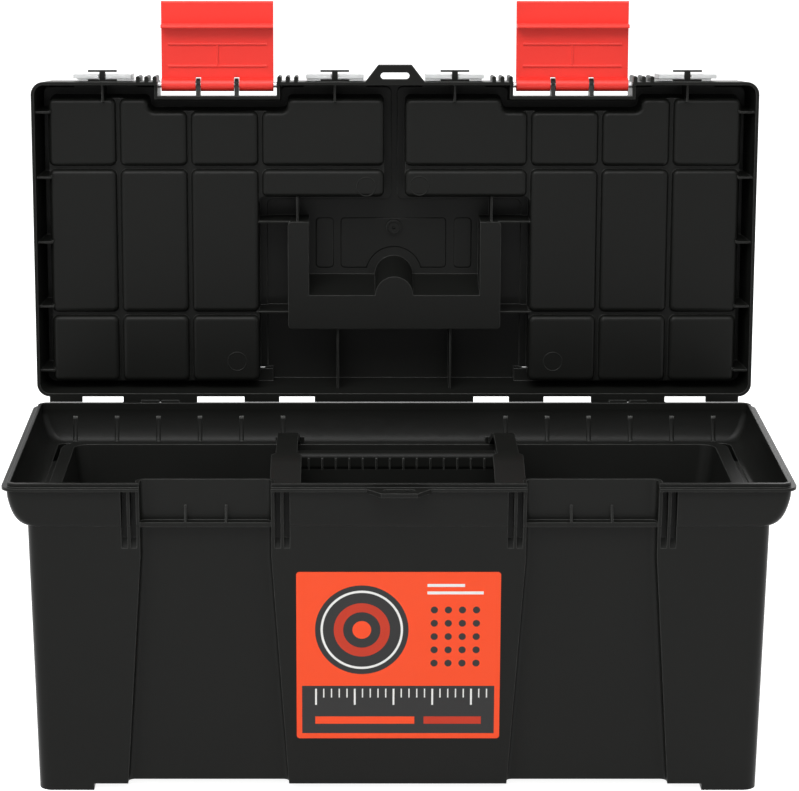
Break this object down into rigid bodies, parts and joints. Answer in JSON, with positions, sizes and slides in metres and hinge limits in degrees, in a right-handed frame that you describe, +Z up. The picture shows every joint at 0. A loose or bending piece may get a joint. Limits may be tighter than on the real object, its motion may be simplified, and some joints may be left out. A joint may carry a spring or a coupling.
{
  "type": "toolbox with tray",
  "caption": "Open moulded plastic toolbox with a hinged organiser lid, red swing latches, a folding carry handle and a lift-out tray with a central grip.",
  "frame": {"origin": "centre of the footprint of the whole part in the open pose, on the ground", "axes": "+Z up, -Y out of the latch side, +X to the right as seen from the latch side"},
  "size_m": [0.505, 0.2919, 0.4852],
  "materials": {
    "black_plastic": "fine-grained moulded polypropylene",
    "red_plastic": "satin moulded plastic",
    "clear_plastic": "translucent moulded plastic",
    "steel_pin": "drawn wire",
    "label_film": "printed film"
  },
  "bodies": {
    "tub": {"tub": "black_plastic", "hinge_pin_left": "steel_pin", "hinge_pin_right": "steel_pin", "front_label": "label_film"},
    "lid": {"lid": "black_plastic", "latch_pin_left": "steel_pin", "latch_pin_right": "steel_pin"},
    "latch_left": {"latch_left": "red_plastic"},
    "latch_right": {"latch_right": "red_plastic"},
    "handle": {"handle_arm_left": "red_plastic", "handle_arm_right": "red_plastic", "handle_grip": "black_plastic"},
    "cover_left": {"cover_left": "clear_plastic"},
    "cover_right": {"cover_right": "clear_plastic"},
    "tray": {"tray": "black_plastic", "tray_handle": "black_plastic"}
  },
  "joints": [
    {"name": "lid_hinge", "type": "hinge", "parent": "tub", "child": "lid", "pos_m": [0, 0.0971, 0.2012], "axis": [-1, 0, 0], "range_deg": [-91, 0]},
    {"name": "latch_left_swing", "type": "hinge", "parent": "lid", "child": "latch_left", "pos_m": [-0.123, 0.11756, 0.42783], "axis": [-1, 0, 0], "range_deg": [-92, 0]},
    {"name": "latch_right_swing", "type": "hinge", "parent": "lid", "child": "latch_right", "pos_m": [0.123, 0.11756, 0.42783], "axis": [-1, 0, 0], "range_deg": [-92, 0]},
    {"name": "handle_swing", "type": "hinge", "parent": "lid", "child": "handle", "pos_m": [0, 0.13797, 0.3195], "axis": [1, 0, 0], "range_deg": [0, 90]},
    {"name": "cover_left_swing", "type": "hinge", "parent": "lid", "child": "cover_left", "pos_m": [-0.16795, 0.13981, 0.21811], "axis": [-1, 0, 0], "range_deg": [0, 100]},
    {"name": "cover_right_swing", "type": "hinge", "parent": "lid", "child": "cover_right", "pos_m": [0.16795, 0.13981, 0.21811], "axis": [-1, 0, 0], "range_deg": [0, 100]},
    {"name": "tray_lift", "type": "slide", "parent": "tub", "child": "tray", "axis": [0, 0, 1], "range_m": [0, 0.12]}
  ]
}
